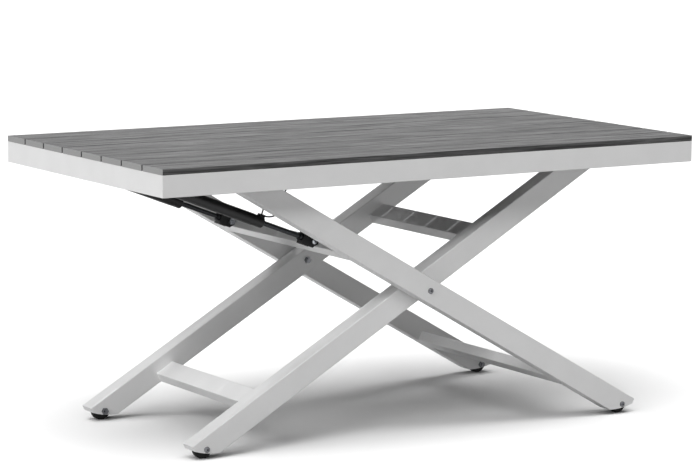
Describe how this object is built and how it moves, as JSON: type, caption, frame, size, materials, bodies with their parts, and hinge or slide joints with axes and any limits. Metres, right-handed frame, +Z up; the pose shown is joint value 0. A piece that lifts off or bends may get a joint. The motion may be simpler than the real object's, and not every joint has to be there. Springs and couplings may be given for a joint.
{
  "type": "height-adjustable garden table",
  "caption": "Rectangular garden table with grey slats on a white tube frame, raised and lowered by crossed scissor legs with gas springs and a release lever.",
  "frame": {"origin": "on the floor under the middle of the top, at the high position", "axes": "+X along the table to the hinged end of the top, +Y across it to the back, +Z up"},
  "size_m": [1.6, 0.85, 0.75],
  "materials": {
    "white_powder_coat": "satin white powder coat",
    "grey_slat": "grey wood-look, fine lengthwise streaks",
    "black_steel": "black satin paint",
    "zinc_steel": "zinc plated",
    "dark_rod": "ground and black nitrided",
    "black_rubber": "matt",
    "black_nylon": "moulded, matt",
    "cable_sheath": "extruded, satin"
  },
  "bodies": {
    "left_foot_axles": {"inner_foot_bolts": "zinc_steel"},
    "inner_legs": {"inner_leg_front": "white_powder_coat", "inner_leg_back": "white_powder_coat", "inner_crossbar_upper": "white_powder_coat", "inner_crossbar_lower": "white_powder_coat", "crossing_spacers": "black_nylon", "crossing_bolts": "zinc_steel", "hinge_bushes": "black_nylon"},
    "outer_legs": {"outer_leg_front": "white_powder_coat", "outer_leg_back": "white_powder_coat", "outer_crossbar_upper": "white_powder_coat", "outer_crossbar_lower": "white_powder_coat", "spring_lugs": "white_powder_coat", "clevis_bolts": "zinc_steel", "roller_axles": "zinc_steel", "outer_foot_bolts": "zinc_steel"},
    "tabletop": {"slat_1": "grey_slat", "slat_2": "grey_slat", "slat_3": "grey_slat", "slat_4": "grey_slat", "slat_5": "grey_slat", "slat_6": "grey_slat", "slat_7": "grey_slat", "slat_8": "grey_slat", "front_rail": "white_powder_coat", "back_rail": "white_powder_coat", "left_rail": "white_powder_coat", "right_rail": "white_powder_coat", "slat_support_left": "white_powder_coat", "slat_support_middle": "white_powder_coat", "slat_support_right": "white_powder_coat", "slat_screws": "zinc_steel", "hinge_beam": "white_powder_coat", "hinge_brackets": "black_steel", "hinge_bolts": "zinc_steel", "slide_track_front": "black_steel", "slide_track_back": "black_steel", "spring_brackets": "black_steel", "spring_pins": "zinc_steel", "lever_bracket": "black_steel", "lever_pin": "zinc_steel", "cable_clips": "black_nylon", "release_cable": "cable_sheath", "link_cable_front": "cable_sheath", "link_cable_back": "cable_sheath"},
    "left_front_wheel": {"foot_wheel_inner_front": "black_rubber"},
    "left_back_wheel": {"foot_wheel_inner_back": "black_rubber"},
    "right_front_wheel": {"foot_wheel_outer_front": "black_rubber"},
    "right_back_wheel": {"foot_wheel_outer_back": "black_rubber"},
    "front_roller": {"track_roller_front": "black_nylon"},
    "back_roller": {"track_roller_back": "black_nylon"},
    "front_cylinder": {"gas_cylinder_front": "black_steel", "lock_head_front": "black_nylon"},
    "back_cylinder": {"gas_cylinder_back": "black_steel", "lock_head_back": "black_nylon"},
    "front_rod": {"piston_rod_front": "dark_rod", "clevis_front": "black_steel"},
    "back_rod": {"piston_rod_back": "dark_rod", "clevis_back": "black_steel"},
    "lever": {"release_lever": "black_nylon"}
  },
  "joints": [
    {"name": "height_adjust", "type": "hinge", "parent": "left_foot_axles", "child": "inner_legs", "pos_m": [-0.6091, 0, 0.026], "axis": [0, 1, 0], "range_deg": [0, 12.5]},
    {"name": "crossing_pivot", "type": "hinge", "parent": "inner_legs", "child": "outer_legs", "pos_m": [0.0136, 0, 0.38346], "axis": [0, 1, 0], "range_deg": [-25.01, 0]},
    {"name": "top_hinge", "type": "hinge", "parent": "inner_legs", "child": "tabletop", "pos_m": [0.565, 0, 0.7], "axis": [0, 1, 0], "range_deg": [-12.52, 0]},
    {"name": "left_front_wheel_spin", "type": "hinge", "parent": "left_foot_axles", "child": "left_front_wheel", "pos_m": [-0.6091, -0.275, 0.026], "axis": [0, 1, 0], "continuous": true},
    {"name": "left_back_wheel_spin", "type": "hinge", "parent": "left_foot_axles", "child": "left_back_wheel", "pos_m": [-0.6091, 0.275, 0.026], "axis": [0, 1, 0], "continuous": true},
    {"name": "right_front_wheel_spin", "type": "hinge", "parent": "outer_legs", "child": "right_front_wheel", "pos_m": [0.63629, -0.333, 0.026], "axis": [0, 1, 0], "continuous": true},
    {"name": "right_back_wheel_spin", "type": "hinge", "parent": "outer_legs", "child": "right_back_wheel", "pos_m": [0.63629, 0.333, 0.026], "axis": [0, 1, 0], "continuous": true},
    {"name": "front_roller_spin", "type": "hinge", "parent": "outer_legs", "child": "front_roller", "pos_m": [-0.53781, -0.333, 0.7], "axis": [0, 1, 0], "continuous": true},
    {"name": "back_roller_spin", "type": "hinge", "parent": "outer_legs", "child": "back_roller", "pos_m": [-0.53781, 0.333, 0.7], "axis": [0, 1, 0], "continuous": true},
    {"name": "front_cylinder_pivot", "type": "hinge", "parent": "tabletop", "child": "front_cylinder", "pos_m": [-0.745, -0.212, 0.7005], "axis": [0, 1, 0], "range_deg": [-4.17, 0], "deforming": ["release_cable", "link_cable_front"]},
    {"name": "front_clevis_pivot", "type": "hinge", "parent": "outer_legs", "child": "front_rod", "pos_m": [-0.25394, -0.212, 0.51398], "axis": [0, 1, 0], "range_deg": [0, 8.37]},
    {"name": "back_cylinder_pivot", "type": "hinge", "parent": "tabletop", "child": "back_cylinder", "pos_m": [-0.745, 0.212, 0.7005], "axis": [0, 1, 0], "range_deg": [-4.17, 0], "deforming": ["link_cable_back"]},
    {"name": "back_clevis_pivot", "type": "hinge", "parent": "outer_legs", "child": "back_rod", "pos_m": [-0.25394, 0.212, 0.51398], "axis": [0, 1, 0], "range_deg": [0, 8.37]},
    {"name": "lever_squeeze", "type": "hinge", "parent": "tabletop", "child": "lever", "pos_m": [-0.15, -0.3855, 0.708], "axis": [0, -1, 0], "range_deg": [0, 12], "stiffness_Nm_per_rad": 2, "springref_deg": -5.73}
  ],
  "couplings": [
    {"joint": "crossing_pivot", "follows": "height_adjust", "ratio": -2},
    {"joint": "top_hinge", "follows": "height_adjust", "ratio": -1},
    {"joint": "front_cylinder_pivot", "follows": "height_adjust", "ratio": -0.332},
    {"joint": "front_clevis_pivot", "follows": "height_adjust", "ratio": 0.668},
    {"joint": "back_cylinder_pivot", "follows": "height_adjust", "ratio": -0.332},
    {"joint": "back_clevis_pivot", "follows": "height_adjust", "ratio": 0.668}
  ]
}
